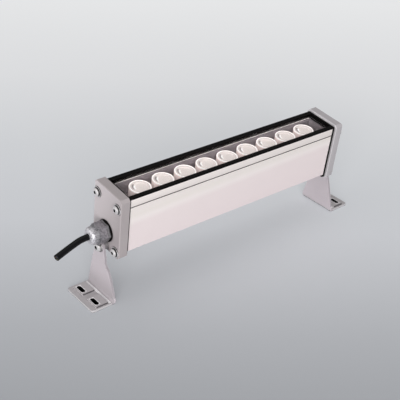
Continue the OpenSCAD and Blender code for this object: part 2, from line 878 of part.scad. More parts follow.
// tilting bracket: a bent plate, wide at its foot and narrow at the pivot, with two slotted pads.
// One edge runs nearly straight up to the pivot. The other is cut back to a neck, so that
// the gland's nut passes it when the light leans over. Both ends use the same bracket, one of
// them turned round.
foot_side = 5;
back_z = 43;
back_half = 15.4;
knee_z = 26;
knee_half = 19.7;
shoulder_z = 37.5;
shoulder_half = 14.9;
shoulder_r = 5;
neck_z = 42.5;
neck_fillet_r = 6;
neck_top = 10.5;
edge_steps = 5;
foot_corner = 3;
pad_corner = 1.5;

// direction from the pivot to where a line from a point touches the plate's round end
function touch_angle(x, z) = atan2(z, x) + acos(plate_head_r / norm([x, z]));
function touch_point(x, z) =
    let (a = touch_angle(x, z)) [plate_head_r * cos(a), pivot_z + plate_head_r * sin(a)];

// an outline's corner at b, between a and c, turned into a round of radius r
function rounded(a, b, c, r) =
    let (u = unit(a - b), v = unit(c - b), half = acos(u * v) / 2, m = b + unit(u + v) * r / sin(half),
         p = b + u * r / tan(half) - m, q = b + v * r / tan(half) - m,
         from = atan2(p[1], p[0]), turn = atan2(q[1], q[0]) - from,
         sweep = turn > 180 ? turn - 360 : turn < -180 ? turn + 360 : turn)
    [for (i = [0 : edge_steps]) let (k = from + sweep * i / edge_steps) m + r * [cos(k), sin(k)]];

// a rectangle in plan with rounded corners
module rounded_rect(x, y, r) {
    translate([r, 0]) square([x - 2 * r, y]);
    translate([0, r]) square([x, y - 2 * r]);
    for (cx = [r, x - r])
        for (cy = [r, y - r])
            translate([cx, cy]) circle(r = r);
}

module plate_outline(side) {
    half = foot_w / 2;
    knee = [knee_half, knee_z];
    shoulder = [shoulder_half, shoulder_z];
    neck = [neck_half, neck_z];
    neck_end = [neck_half, pivot_z - neck_top];
    straight = touch_point(back_half, back_z - pivot_z);
    notched = touch_point(neck_half, -neck_top);
    translate([pivot_y, 0]) mirror([side < 0 ? 1 : 0, 0]) {
        polygon(concat(
            [[-half, 0], [half, 0], [half, foot_side], knee],
            rounded(knee, shoulder, neck, shoulder_r),
            rounded(shoulder, neck, neck_end, neck_fillet_r),
            [neck_end, notched, [-straight[0], straight[1]], [-back_half, back_z], [-half, foot_side]]));
        translate([0, pivot_z]) circle(r = plate_head_r);
    }
}

// side view of the bent plate, with its inner and outer bend
module bend_section() {
    difference() {
        union() {
            translate([plate_in, 0]) square([plate_t, pivot_z + plate_head_r]);
            translate([plate_in, 0]) square([face + foot_reach - plate_in, plate_t]);
            difference() {
                translate([plate_out, plate_t]) square(bend_in_r);
                translate([plate_out + bend_in_r, plate_t + bend_in_r]) circle(r = bend_in_r);
            }
        }
        difference() {
            translate([plate_in - over, -over]) square(bend_r + over);
            translate([plate_in + bend_r, bend_r]) circle(r = bend_r);
        }
    }
}

module bracket(side) {
    at_end(side) difference() {
        union() {
            intersection() {
                translate([0, pivot_y + foot_w / 2, 0]) rotate([90, 0, 0])
                    linear_extrude(foot_w) bend_section();
                along_x(face, foot_reach) plate_outline(side);
                linear_extrude(pivot_z + plate_head_r)
                    translate([0, pivot_y - foot_w / 2]) rounded_rect(face + foot_reach, foot_w, foot_corner);
            }
            for (s = [-1, 1])
                translate([face + slot_out - pad_in, pivot_y + s * slot_gap / 2 - pad_w / 2, plate_t / 2])
                    linear_extrude(plate_t / 2 + pad_h)
                        rounded_rect(pad_in + pad_out, pad_w, pad_corner);
        }
        for (s = [-1, 1])
            translate([face + slot_out - slot_w / 2, pivot_y + s * slot_gap / 2 - slot_len / 2, -over])
                linear_extrude(plate_t + pad_h + 2 * over)
                    slot_outline();
        rod_x(plate_in - over, plate_t + 2 * over, pivot_r + bore_gap, pivot_y, pivot_z);
    }
}

// a slot with round ends, long in depth
module slot_outline() {
    translate([0, slot_w / 2]) square([slot_w, slot_len - slot_w]);
    for (y = [slot_w / 2, slot_len - slot_w / 2])
        translate([slot_w / 2, y]) circle(r = slot_w / 2);
}

module bracket_left() {
    color([0.68, 0.66, 0.68]) bracket(-1);
}

module bracket_right() {
    color([0.68, 0.66, 0.68]) bracket(1);
}

// pivot hardware at each end: screw, split washer, washer, and the collar behind the plate
washer_in = plate_out + swing_gap;
split_in = washer_in + pivot_washer_t;
pivot_seat = split_in + pivot_split_t;
pivot_len = pivot_seat - face + pivot_hole_depth - screw_tip_gap;

module pivot_screw(side) {
    color([0.80, 0.80, 0.80]) in_head() at_end(side)
        button_screw(pivot_seat, pivot_len, pivot_r, pivot_head_r, pivot_head_h);
}

module pivot_split_washer(side) {
    color([0.62, 0.62, 0.63]) in_head() at_end(side)
        split_ring_x(split_in, pivot_split_t, pivot_head_r, pivot_r + fit_gap);
}

module pivot_washer(side) {
    color([0.70, 0.70, 0.71]) in_head() at_end(side)
        ring_x(washer_in, pivot_washer_t, pivot_washer_r, pivot_r + fit_gap);
}

module pivot_collar(side) {
    color([0.50, 0.49, 0.51]) in_head() at_end(side)
        ring_x(face, plate_gap - swing_gap, collar_r, pivot_r + fit_gap);
}

module pivot_screw_left() {
    pivot_screw(-1);
}

module pivot_screw_right() {
    pivot_screw(1);
}

module pivot_split_washer_left() {
    pivot_split_washer(-1);
}

module pivot_split_washer_right() {
    pivot_split_washer(1);
}

module pivot_washer_left() {
    pivot_washer(-1);
}

module pivot_washer_right() {
    pivot_washer(1);
}

module pivot_collar_left() {
    pivot_collar(-1);
}

module pivot_collar_right() {
    pivot_collar(1);
}

housing_profile();
glass_pane();
glass_seal();
lens_tray();
lenses();
lens_holders();
light_board();
emitters();
board_screws();
board_lead();
driver_trough();
driver_board();
driver_coils();
driver_capacitors();
driver_chips();
terminal_block();
end_cap_left();
end_cap_right();
end_gasket_left();
end_gasket_right();
end_screws_left();
end_screws_right();
end_split_washers_left();
end_split_washers_right();
end_seal_washers_left();
end_seal_washers_right();
gland_base();
gland_ring();
gland_dome_nut();
gland_grommet();
gland_locknut();
inner_cord();
inner_cores();
supply_cord();
bracket_left();
bracket_right();
pivot_screw_left();
pivot_screw_right();
pivot_split_washer_left();
pivot_split_washer_right();
pivot_washer_left();
pivot_washer_right();
pivot_collar_left();
pivot_collar_right();
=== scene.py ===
import bpy
import math
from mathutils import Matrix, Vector


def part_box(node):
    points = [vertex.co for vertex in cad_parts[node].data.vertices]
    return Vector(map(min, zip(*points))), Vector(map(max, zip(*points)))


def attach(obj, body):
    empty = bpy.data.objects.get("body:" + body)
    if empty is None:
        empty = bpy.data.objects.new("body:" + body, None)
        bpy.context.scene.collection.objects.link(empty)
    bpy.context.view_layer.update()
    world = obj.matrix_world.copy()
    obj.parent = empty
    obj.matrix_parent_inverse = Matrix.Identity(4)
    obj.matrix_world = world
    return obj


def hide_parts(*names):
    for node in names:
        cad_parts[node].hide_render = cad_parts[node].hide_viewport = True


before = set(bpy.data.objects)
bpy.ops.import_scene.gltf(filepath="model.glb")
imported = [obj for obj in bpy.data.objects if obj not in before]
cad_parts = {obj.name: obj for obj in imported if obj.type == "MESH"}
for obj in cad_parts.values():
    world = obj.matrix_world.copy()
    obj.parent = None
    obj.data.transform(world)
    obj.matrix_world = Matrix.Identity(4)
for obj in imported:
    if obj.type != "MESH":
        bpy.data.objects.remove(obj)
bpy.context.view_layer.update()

bpy.context.scene.view_settings.view_transform = "Standard"


# Camera
# A long lens looks at the light from its cable end and from above. Its place was fitted to the
# corners, rims and screws in the photo, and the picture is a little turned.
camera_at = (-0.59186, -0.67382, 0.59781)
camera_turn = [math.radians(angle) for angle in (59.1756, -2.0726, -38.3254)]
bpy.ops.object.select_all(action="DESELECT")
bpy.ops.object.camera_add(location=camera_at, rotation=camera_turn)
camera = bpy.context.object
camera.name = "camera"
camera.data.sensor_width = 36
camera.data.lens = 78.89
camera.data.clip_start = 0.01
camera.data.clip_end = 50
bpy.context.scene.camera = camera


# Supply cable
# A short stub of round rubber-sheathed cable. It leaves the gland straight along its axis,
# bends forwards and a little down, and is cut square, with its three cores bare at the cut.
cable_d = 0.0072
cable_exit = Vector((-0.1865, 0.0013, 0.0819))
# points on its middle line, in millimetres from the exit: outwards, to the back and up
cable_steps = [(0, 0, 0), (3, 0, 0), (6, -0.1, -0.1), (9, -0.3, -0.3), (12, -0.7, -0.6),
               (15, -1.2, -1), (18, -1.9, -1.4), (21, -2.6, -1.8), (24, -3.4, -2.1), (27, -4.2, -2.4),
               (30, -5.1, -2.7), (33, -6, -3), (36, -6.9, -3.3), (39, -7.8, -3.6), (42, -8.7, -3.9),
               (44, -9.3, -4.1)]
cable_route = [cable_exit + Vector((-out, back, up)) / 1000 for out, back, up in cable_steps]
cable_line = bpy.data.curves.new("supply_cable", "CURVE")
cable_line.dimensions = "3D"
run = cable_line.splines.new("POLY")
run.points.add(len(cable_route) - 1)
for point, at in zip(run.points, cable_route):
    point.co = (*at, 1)
cable_line.bevel_depth = cable_d / 2
cable_line.bevel_resolution = 8
cable_line.use_fill_caps = True
cable = bpy.data.objects.new("supply_cable", cable_line)
bpy.context.scene.collection.objects.link(cable)


def colour(red, green, blue):
    """A screen colour, 0 to 255, as a shader colour."""
    parts = [c / 255 for c in (red, green, blue)]
    return [c / 12.92 if c <= 0.04045 else ((c + 0.055) / 1.055) ** 2.4 for c in parts] + [1.0]


def feed(tree, socket, value):
    """Gives an input its value, or links it to the output of another node."""
    if isinstance(value, bpy.types.NodeSocket):
        tree.links.new(value, socket)
    else:
        socket.default_value = value


def put(tree, kind, **values):
    """Adds a node. A value is fed to the input of its name, or else it is a setting of the node."""
    node = tree.nodes.new(kind)
    for name, value in values.items():
        label = name.replace("_", " ").title()
        if label in node.inputs:
            feed(tree, node.inputs[label], value)
        else:
            setattr(node, name, value)
    return node


def reckoned(tree, operation, *terms, kind="ShaderNodeMath"):
    """The result of a sum or a comparison. Each term is a number, a way or a node's output."""
    node = put(tree, kind, operation=operation)
    for socket, term in zip(node.inputs, terms):
        feed(tree, socket, term)
    return next(socket for socket in node.outputs if socket.enabled)


def effect(name, inputs, outputs):
    """An empty effect for use in several finishes: its tree, and the sockets to fill inside it."""
    group = bpy.data.node_groups.new(name, "ShaderNodeTree")
    for label, value in inputs.items():
        socket = group.interface.new_socket(label, in_out="INPUT", socket_type="NodeSocketFloat")
        socket.default_value = value
    for label in outputs:
        group.interface.new_socket(label, in_out="OUTPUT", socket_type="NodeSocketFloat")
    return group, group.nodes.new("NodeGroupInput").outputs, group.nodes.new("NodeGroupOutput").inputs


def use(tree, group, **values):
    """Places an effect in a finish, with its own values, and gives what the effect puts out."""
    node = tree.nodes.new("ShaderNodeGroup")
    node.node_tree = group
    for name, value in values.items():
        feed(tree, node.inputs[name.title()], value)
    return node.outputs


def finish(name, base, roughness, metallic=0.0):
    """A finish with one plain colour."""
    material = bpy.data.materials.new(name)
    material.use_nodes = True
    shader = material.node_tree.nodes["Principled BSDF"]
    shader.inputs["Base Color"].default_value = base
    shader.inputs["Roughness"].default_value = roughness
    shader.inputs["Metallic"].default_value = metallic
    return material


def opened(material):
    """A finish's node tree and its shader, to work on."""
    return material.node_tree, material.node_tree.nodes["Principled BSDF"]


# fine grain, as on a cast, coated or moulded surface: a height, and a tone between 0 and 1
grain, grain_in, grain_out = effect("fine grain", {"Size": 0.001}, ["Height", "Tone"])
spot = put(grain, "ShaderNodeTexCoord").outputs["Object"]
per_metre = reckoned(grain, "DIVIDE", 1.0, grain_in["Size"])
fine = put(grain, "ShaderNodeTexNoise", vector=spot, scale=per_metre, detail=3.0, roughness=0.6)
broad = put(grain, "ShaderNodeTexNoise", vector=spot, scale=45.0, detail=2.0)
feed(grain, grain_out["Height"], fine.outputs["Fac"])
feed(grain, grain_out["Tone"], broad.outputs["Fac"])


def uneven(shader, tone, least, most):
    """Lets the roughness of a finish vary with the tone of its grain."""
    tree = shader.id_data
    rough = put(tree, "ShaderNodeMapRange", value=tone, to_min=least, to_max=most)
    feed(tree, shader.inputs["Roughness"], rough.outputs["Result"])


def coated(name, dark, plain, light, gloss, grain_size, relief, metallic=0.0):
    """A finish with fine grain. It has three close tones of its colour, and its gloss is the
    least, the plain and the greatest roughness."""
    material = finish(name, colour(*plain), gloss[1], metallic)
    tree, shader = opened(material)
    cover = use(tree, grain, size=grain_size)
    tone = put(tree, "ShaderNodeMix", data_type="RGBA", factor=cover["Tone"],
               a=colour(*dark), b=colour(*light))
    bump = put(tree, "ShaderNodeBump", strength=relief, distance=0.0002, height=cover["Height"])
    feed(tree, shader.inputs["Base Color"], tone.outputs["Result"])
    feed(tree, shader.inputs["Normal"], bump.outputs["Normal"])
    uneven(shader, cover["Tone"], gloss[0], gloss[2])
    return material


cable_black = coated("black rubber sheath", dark=(7, 7, 9), plain=(10, 10, 12), light=(14, 14, 16),
                     gloss=(0.18, 0.2, 0.26), grain_size=0.0012, relief=0.2)
opened(cable_black)[1].inputs["Specular IOR Level"].default_value = 0.22
cable_line.materials.append(cable_black)

# the cut end: three insulated cores, each round a bare copper strand, just proud of the sheath
core_r = 0.0011
core_len = 0.0006
core_circle = 0.0017
skin_t = 0.0005
strand_proud = 0.0002
skin_spread = 8
cut = cable_route[-1]
cut_way = (cable_route[-1] - cable_route[-2]).normalized()
across = cut_way.cross(Vector((0, 0, 1))).normalized()
above = across.cross(cut_way)
for turn, (name, tint) in enumerate([("brown_core", (66, 54, 48)), ("blue_core", (52, 57, 70)),
                                     ("earth_core", (72, 76, 58))]):
    angle = math.radians(120 * turn)
    at = cut + (across * math.cos(angle) + above * math.sin(angle)) * core_circle
    bpy.ops.object.select_all(action="DESELECT")
    bpy.ops.mesh.primitive_cylinder_add(vertices=24, radius=core_r, depth=core_len, location=at,
                                        rotation=cut_way.to_track_quat("Z", "Y").to_euler())
    core = bpy.context.object
    core.name = name
    bpy.ops.object.mode_set(mode="EDIT")
    bpy.ops.mesh.select_all(action="DESELECT")
    bpy.ops.object.mode_set(mode="OBJECT")
    for face in core.data.polygons:
        face.select = abs(face.normal.z) > 0.9 and face.center.z > 0
    bpy.ops.object.mode_set(mode="EDIT")
    bpy.ops.mesh.inset(thickness=skin_t)
    bpy.ops.mesh.extrude_region_move(TRANSFORM_OT_translate={"value": cut_way * strand_proud})
    bpy.ops.object.mode_set(mode="OBJECT")
    strand_faces = [face.index for face in core.data.polygons if face.select]
    bpy.ops.object.transform_apply(location=True, rotation=True, scale=True)
    core.data.materials.append(coated(
        name + " insulation", dark=[c - skin_spread for c in tint], plain=tint,
        light=[c + skin_spread for c in tint], gloss=(0.4, 0.45, 0.55), grain_size=0.0005, relief=0.2))
    core.data.materials.append(coated(
        name + " copper", dark=(128, 102, 88), plain=(140, 112, 98), light=(150, 122, 108),
        gloss=(0.3, 0.4, 0.45), grain_size=0.0002, relief=0.4, metallic=1.0))
    for index in strand_faces:
        core.data.polygons[index].material_index = 1
    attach(core, "light")

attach(cable, "light")
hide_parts("supply_cord")


# Studio
# A pale paper floor lies under the feet, wide enough for every view, painted lighter towards the back
# (a painted light). The large soft main lamp stands low at the front left, so upright faces are brighter
# than level ones.
floor_size = 16
bpy.ops.object.select_all(action="DESELECT")
bpy.ops.mesh.primitive_plane_add(size=floor_size, location=(0, 0, 0))
floor = bpy.context.object
floor.name = "floor"


def stepped(tree, value, stops):
    """A row of screen colours, each at its place between 0 and 1, blended in between."""
    ramp = put(tree, "ShaderNodeValToRGB", fac=value)
    while len(ramp.color_ramp.elements) < len(stops):
        ramp.color_ramp.elements.new(0.5)
    for element, (at, tint) in zip(ramp.color_ramp.elements, stops):
        element.position = at
        element.color = colour(*tint)
    return ramp.outputs["Color"]


def spanned(tree, value, low, high, curve="LINEAR"):
    """How far a value has come from low to high, as 0 to 1."""
    return put(tree, "ShaderNodeMapRange", interpolation_type=curve, value=value,
               from_min=low, from_max=high).outputs["Result"]


def zone(tree, *spans):
    """1 inside all the spans and 0 outside. A span is a place, its lowest value and its highest."""
    tests = [reckoned(tree, "COMPARE", place, (low + high) / 2, (high - low) / 2)
             for place, low, high in spans]
    inside = tests[0]
    for test in tests[1:]:
        inside = reckoned(tree, "MULTIPLY", inside, test)
    return inside


# places on the light, in metres: right along it, the same with both ends alike (out), up from the
# ground, and back from the middle of the feet, the same with front and back alike (aside)
pivot = sum(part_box("pivot_screw_right"), Vector()) / 2
places, places_in, places_out = effect(
    "places on the light", {"Middle": pivot.y}, ["Right", "Out", "Up", "Back", "Aside"])
spot = put(places, "ShaderNodeTexCoord").outputs["Object"]
along_x, along_y, along_z = put(places, "ShaderNodeSeparateXYZ", vector=spot).outputs
from_middle = reckoned(places, "SUBTRACT", along_y, places_in["Middle"])
feed(places, places_out["Right"], along_x)
feed(places, places_out["Out"], reckoned(places, "ABSOLUTE", along_x))
feed(places, places_out["Up"], along_z)
feed(places, places_out["Back"], from_middle)
feed(places, places_out["Aside"], reckoned(places, "ABSOLUTE", from_middle))

# how open a place is: 0 in gaps and creases that see no more of the sky than Shut says, and 1
# where it sees as much as Clear says
crease, crease_in, crease_out = effect("crease", {"Reach": 0.004, "Shut": 0.3, "Clear": 0.85}, ["Open"])
sky = put(crease, "ShaderNodeAmbientOcclusion", samples=16, distance=crease_in["Reach"]).outputs["AO"]
feed(crease, crease_out["Open"],
     spanned(crease, sky, crease_in["Shut"], crease_in["Clear"], "SMOOTHSTEP"))

# the slots in the feet, from the middle of the light
slot_x = 0.1882
slot_y = 0.0139
slot_w = 0.0052
slot_len = 0.0135


def slot_spans(at, grow):
    """The slots in the feet as seen from above, wider by the same margin all round."""
    half_w, half_len = slot_w / 2 + grow, slot_len / 2 + grow
    return [(at["Out"], slot_x - half_w, slot_x + half_w),
            (at["Aside"], slot_y - half_len, slot_y + half_len)]


floor_paper = finish("pale paper floor", colour(205, 206, 208), 0.95)
tree, shader = opened(floor_paper)
shader.inputs["Specular IOR Level"].default_value = 0.0
away_way = (0.637, 0.771, 0.0)
nearest, farthest = -0.30, 1.00
spot = put(tree, "ShaderNodeTexCoord").outputs["Object"]
away = reckoned(tree, "DOT_PRODUCT", spot, away_way, kind="ShaderNodeVectorMath")
# painted light: the paper's colour grows lighter towards the back
paper = stepped(tree, spanned(tree, away, nearest, farthest), [
    (0.0, (147, 149, 153)), (0.10, (163, 165, 169)), (0.26, (190, 192, 196)),
    (0.42, (201, 203, 206)), (0.62, (218, 219, 221)), (0.98, (236, 237, 238))])

# painted shade: the paper's colour, and its own glow, which shows only to the camera and in gloss and
# glass, are painted dark in deep gaps, and most of all under the slots of the feet while these stand on
# it
slot_shade = 0.0009
gap_shut, gap_clear = 0.02, 0.25
under_slots = 0.65
slots = zone(tree, *slot_spans(use(tree, places, middle=pivot.y), slot_shade))
gap = use(tree, crease, reach=0.009, shut=reckoned(tree, "MULTIPLY_ADD", slots, under_slots, gap_shut),
          clear=reckoned(tree, "MULTIPLY_ADD", slots, under_slots, gap_clear))
paper_with_painted_gap_shade = put(tree, "ShaderNodeMix", data_type="RGBA", factor=gap["Open"], a=(0, 0, 0, 1), b=paper)
rays = put(tree, "ShaderNodeLightPath").outputs
seen = reckoned(tree, "MAXIMUM", rays["Is Camera Ray"], rays["Is Glossy Ray"])
seen = reckoned(tree, "MAXIMUM", seen, rays["Is Transmission Ray"])
floor_glow = 0.42
feed(tree, shader.inputs["Base Color"], paper_with_painted_gap_shade.outputs["Result"])
feed(tree, shader.inputs["Emission Color"], paper_with_painted_gap_shade.outputs["Result"])
feed(tree, shader.inputs["Emission Strength"], reckoned(tree, "MULTIPLY", seen, floor_glow))
floor.data.materials.append(floor_paper)

world = bpy.data.worlds.new("studio")
bpy.context.scene.world = world
world.use_nodes = True
background = world.node_tree.nodes["Background"]
background.inputs["Color"].default_value = (1, 1, 1, 1)
background.inputs["Strength"].default_value = 0.36

light_middle = Vector((0, 0, 0.08))
for name, at, size, power in [("main lamp", (-1.55, -1.80, 0.62), 1.6, 54.0),
                              ("left lamp", (-2.3, 0.35, 0.75), 1.4, 6.0),
                              ("top lamp", (0.1, 0.1, 2.4), 1.6, 6.0)]:
    bpy.ops.object.light_add(type="AREA", location=at)
    lamp = bpy.context.object
    lamp.name = name
    lamp.data.shape = "SQUARE"
    lamp.data.size = size
    lamp.data.energy = power
    lamp.rotation_euler = (light_middle - Vector(at)).to_track_quat("-Z", "Y").to_euler()


# Housing profile
# One aluminium extrusion, sawn to length and anodised a pale satin silver with a warm tint.
# The press leaves very fine lines along it; its edges are broken by tumbling.
def soften(width, *names):
    """Breaks the sharp edges of CAD pieces by a small live bevel; their meshes stay as they are."""
    for name in names:
        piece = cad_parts[name]
        merge = piece.modifiers.new("merge", "WELD")
        merge.merge_threshold = 0.000005
        flat = piece.modifiers.new("flat", "DECIMATE")
        flat.decimate_type = "DISSOLVE"
        flat.angle_limit = math.radians(0.6)
        edge = piece.modifiers.new("edge", "BEVEL")
        edge.width = width
        edge.segments = 2
        edge.limit_method = "ANGLE"
        edge.angle_limit = math.radians(34)
        edge.harden_normals = False


def dress(material, *names):
    """Gives CAD pieces a finish."""
    for name in names:
        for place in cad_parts[name].material_slots:
            place.material = material


def blended(shader, tone, amount=1.0, how="MIX"):
    """Blends a tone, or a row of tones, with a finish's own colour, everywhere or in one zone."""
    tree = shader.id_data
    before = shader.inputs["Base Color"].links[0].from_socket
    mix = put(tree, "ShaderNodeMix", data_type="RGBA", blend_type=how, factor=amount, a=before, b=tone)
    feed(tree, shader.inputs["Base Color"], mix.outputs["Result"])
    return mix.outputs["Result"]


def paint_crease_shade(shader, reach, shut, clear, dark=(0.01, 0.01, 0.01, 1), spared=None):
    """Paints shade into a finish: darkens it in sockets, slots and narrow creases, which see little of
    the sky, but not in the zone that is spared."""
    tree = shader.id_data
    before = shader.inputs["Base Color"].links[0].from_socket
    bare = use(tree, crease, reach=reach, shut=shut, clear=clear)["Open"]
    if spared is not None:
        bare = reckoned(tree, "MAXIMUM", bare, spared)
    mix = put(tree, "ShaderNodeMix", data_type="RGBA", factor=bare, a=dark, b=before)
    feed(tree, shader.inputs["Base Color"], mix.outputs["Result"])


# places on the head in its own upright frame, measured from the pivots, about which it leans
lean = math.radians(6)
head, head_in, head_out = effect(
    "places on the head", {"Middle": pivot.y, "Pivot": pivot.z, "Lean": lean}, ["Right", "Back", "Up"])
pivot_at = put(head, "ShaderNodeCombineXYZ", y=head_in["Middle"], z=head_in["Pivot"])
pivot_turn = put(head, "ShaderNodeCombineXYZ", x=head_in["Lean"])
upright = put(head, "ShaderNodeMapping", vector_type="TEXTURE",
              vector=put(head, "ShaderNodeTexCoord").outputs["Object"],
              location=pivot_at.outputs["Vector"], rotation=pivot_turn.outputs["Vector"])
for label, place in zip(["Right", "Back", "Up"],
                        put(head, "ShaderNodeSeparateXYZ", vector=upright.outputs["Vector"]).outputs):
    feed(head, head_out[label], place)

anodised = coated("satin anodised aluminium", dark=(249, 243, 242), plain=(251, 245, 244),
                  light=(253, 247, 246), gloss=(0.36, 0.4, 0.46), grain_size=0.0008, relief=0.08)
tree, shader = opened(anodised)
lines_per_metre = (2.0, 700.0, 700.0)
spot = put(tree, "ShaderNodeTexCoord").outputs["Object"]
stretched = reckoned(tree, "MULTIPLY", spot, lines_per_metre, kind="ShaderNodeVectorMath")
lines = put(tree, "ShaderNodeTexNoise", vector=stretched, scale=1.0, detail=2.0)
bump = put(tree, "ShaderNodeBump", strength=0.15, distance=0.0001, height=lines.outputs["Fac"],
           normal=shader.inputs["Normal"].links[0].from_socket)
feed(tree, shader.inputs["Normal"], bump.outputs["Normal"])

# a painted sheen: a lighter band under the line groove, climbing a little to the right, with a warmer
# tint below
painted_sheen_slant = -0.03
painted_sheen_top = 0.06
at = use(tree, head, middle=pivot.y, pivot=pivot.z, lean=lean)
rise = reckoned(tree, "MULTIPLY_ADD", at["Right"], painted_sheen_slant, at["Up"])
painted_sheen = stepped(tree, spanned(tree, rise, 0.0, painted_sheen_top), [
    (0.0, (247, 239, 241)), (0.62, (249, 242, 243)), (0.735, (255, 252, 251)),
    (0.84, (249, 247, 243)), (1.0, (250, 247, 245))])
blended(shader, painted_sheen, how="MULTIPLY")

# the gaskets' squeezed rims lie dark over the sawn ends
housing_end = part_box("housing_profile")[1].x
sawn_depth = 0.0006
out = use(tree, places, middle=pivot.y)["Out"]
blended(shader, colour(16, 14, 14), zone(tree, (out, housing_end - sawn_depth, housing_end + sawn_depth)))

# painted shade: the line groove and the slots between the fins are painted dark; the ledges under the
# glass are spared and stay light
ledges_from = 0.0592
paint_crease_shade(shader, reach=0.0022, shut=0.62, clear=0.96, dark=(0.03, 0.025, 0.025, 1),
        spared=reckoned(tree, "GREATER_THAN", at["Up"], ledges_from))
soften(0.00025, "housing_profile")
dress(anodised, "housing_profile")


# Glass pane
# Clear toughened glass, 4 mm thick, lying in the recess on two ledges, its edges ground. The low
# index stands for an anti-glare coating. Lamps shine straight through it.
clear = finish("clear toughened glass", colour(253, 252, 252), 0.02)
tree, shader = opened(clear)
shader.inputs["Transmission Weight"].default_value = 1.0
shader.inputs["IOR"].default_value = 1.12
let_light = put(tree, "ShaderNodeBsdfTransparent", color=(0.96, 0.95, 0.95, 1))
pick = put(tree, "ShaderNodeMixShader", fac=put(tree, "ShaderNodeLightPath").outputs["Is Shadow Ray"])
feed(tree, pick.inputs[1], shader.outputs["BSDF"])
feed(tree, pick.inputs[2], let_light.outputs["BSDF"])
feed(tree, tree.nodes["Material Output"].inputs["Surface"], pick.outputs["Shader"])
uneven(shader, use(tree, grain, size=0.02)["Tone"], 0.005, 0.03)
dress(clear, "glass_pane")


# Seals, gaskets and gland rubbers
# Black silicone rubber, squeezed by the screws: a flanged profile round the glass, a flat gasket
# behind each cap, and a moulded ring and grommet in the cable gland.
black_rubber = coated("black seal rubber", dark=(9, 7, 7), plain=(12, 10, 10), light=(15, 13, 13),
                      gloss=(0.52, 0.6, 0.68), grain_size=0.0009, relief=0.3)
opened(black_rubber)[1].inputs["Specular IOR Level"].default_value = 0.08
soften(0.0003, "glass_seal", "end_gasket_left", "end_gasket_right", "gland_ring")
dress(black_rubber, "glass_seal", "end_gasket_left", "end_gasket_right", "gland_ring", "gland_grommet")


# Lens tray, holders and lenses
# A dark coated sheet tray carries nine white moulded cups. Each cup holds a clear acrylic lens,
# whose flat face has a fine pattern of small pillows that evens out the beam.
tray_grey = coated("dark grey tray coat", dark=(132, 125, 129), plain=(138, 131, 135),
                   light=(144, 137, 141), gloss=(0.5, 0.55, 0.62), grain_size=0.0006, relief=0.3)
dress(tray_grey, "lens_tray")

# painted shade: a cup's rim is white, and its wall is painted darker down to the tray; the cup glows
# faintly in these colours, a painted light, though it is no lamp
cup_white = coated("white moulded cup", dark=(250, 245, 244), plain=(252, 247, 246),
                   light=(254, 249, 248), gloss=(0.36, 0.4, 0.46), grain_size=0.0006, relief=0.15)
tree, shader = opened(cup_white)
cup_bottom, cup_top = 0.0500, 0.0614
at = use(tree, head, middle=pivot.y, pivot=pivot.z, lean=lean)
painted_wall_shade = stepped(tree, spanned(tree, at["Up"], cup_bottom, cup_top), [
    (0.0, (168, 158, 157)), (0.55, (196, 186, 184)), (0.93, (214, 205, 202)), (0.975, (255, 253, 252))])
feed(tree, shader.inputs["Emission Color"], blended(shader, painted_wall_shade, how="MULTIPLY"))
shader.inputs["Emission Strength"].default_value = 0.42
soften(0.0002, "lens_holders")
dress(cup_white, "lens_holders")

lens_clear = finish("frosted acrylic lens", colour(232, 225, 223), 0.16)
tree, shader = opened(lens_clear)
shader.inputs["Transmission Weight"].default_value = 0.12
shader.inputs["IOR"].default_value = 1.49
# painted light: the lens glows faintly in its own colours, though it is no lamp
shader.inputs["Emission Strength"].default_value = 0.24
spot = put(tree, "ShaderNodeTexCoord").outputs["Object"]
pillows = put(tree, "ShaderNodeTexVoronoi", vector=spot, scale=700.0)
bump = put(tree, "ShaderNodeBump", strength=0.5, distance=0.0002, height=pillows.outputs["Distance"])
feed(tree, shader.inputs["Normal"], bump.outputs["Normal"])

# distance from the middle of the lens, as a share of its reach, and how far it is on the left side
lens_pitch = 0.0305
lens_reach = 0.0125
left_way = (-0.894, 0.447, 0)
at = use(tree, head, middle=pivot.y, pivot=pivot.z, lean=lean)
in_lens = reckoned(tree, "WRAP", at["Right"], lens_pitch / 2, -lens_pitch / 2)
flat = put(tree, "ShaderNodeCombineXYZ", x=in_lens, y=at["Back"]).outputs["Vector"]
off = reckoned(tree, "LENGTH", flat, kind="ShaderNodeVectorMath")
share = reckoned(tree, "DIVIDE", off, lens_reach)
way = reckoned(tree, "NORMALIZE", flat, kind="ShaderNodeVectorMath")
turned = reckoned(tree, "DOT_PRODUCT", way, left_way, kind="ShaderNodeVectorMath")
on_left = spanned(tree, turned, 0.72, 0.93, "SMOOTHSTEP")

# an even face with a greyer ring and a white rim; on its left a painted highlight streak, white, and a
# painted shade streak, grey, beside it
even_face = stepped(tree, share, [
    (0.0, (224, 217, 213)), (0.55, (230, 222, 219)), (0.80, (228, 220, 217)),
    (0.84, (208, 200, 198)), (0.87, (255, 252, 250))])
painted_streaks = stepped(tree, share, [
    (0.0, (224, 217, 213)), (0.40, (230, 222, 219)), (0.46, (255, 254, 253)),
    (0.55, (255, 254, 253)), (0.60, (170, 162, 160)), (0.68, (132, 125, 125)),
    (0.76, (206, 198, 196)), (0.84, (208, 200, 198)), (0.87, (255, 252, 250))])
face_tone = put(tree, "ShaderNodeMix", data_type="RGBA", factor=on_left, a=even_face, b=painted_streaks)
feed(tree, shader.inputs["Base Color"], face_tone.outputs["Result"])
feed(tree, shader.inputs["Emission Color"], face_tone.outputs["Result"])
dress(lens_clear, "lenses")


